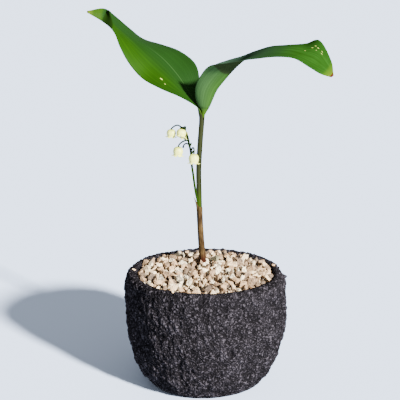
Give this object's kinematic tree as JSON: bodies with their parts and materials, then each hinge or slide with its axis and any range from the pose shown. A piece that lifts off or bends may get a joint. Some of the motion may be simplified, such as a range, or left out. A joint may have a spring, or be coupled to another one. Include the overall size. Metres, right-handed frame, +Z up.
{
  "type": "potted lily of the valley",
  "caption": "Lily of the valley shoot with broad leaves and a spray of small white bells, standing in gravel in a rough charcoal stoneware pot.",
  "frame": {"origin": "centre of the pot's foot, on the surface it stands on", "axes": "+Z up along the pot's axis, +X to the right of the front view, +Y to the back"},
  "size_m": [0.1459, 0.102, 0.2273],
  "materials": {
    "stoneware": "rough unglazed, pitted",
    "soil": "crumbly, matt",
    "gravel": "angular grit, matt",
    "rhizome": "matt",
    "sheath": "dry, satin",
    "outer_leaf": "satin, parallel veined",
    "inner_leaf": "satin, parallel veined",
    "stem": "satin",
    "bell": "waxy"
  },
  "bodies": {
    "root": {"pot": "stoneware", "soil": "soil", "gravel": "gravel", "rhizome": "rhizome", "sheath": "sheath", "outer_leaf": "outer_leaf", "inner_leaf": "inner_leaf", "flower_stem": "stem", "bell_1": "bell", "bell_2": "bell", "bell_3": "bell", "bell_4": "bell", "bell_5": "bell"}
  },
  "joints": []
}
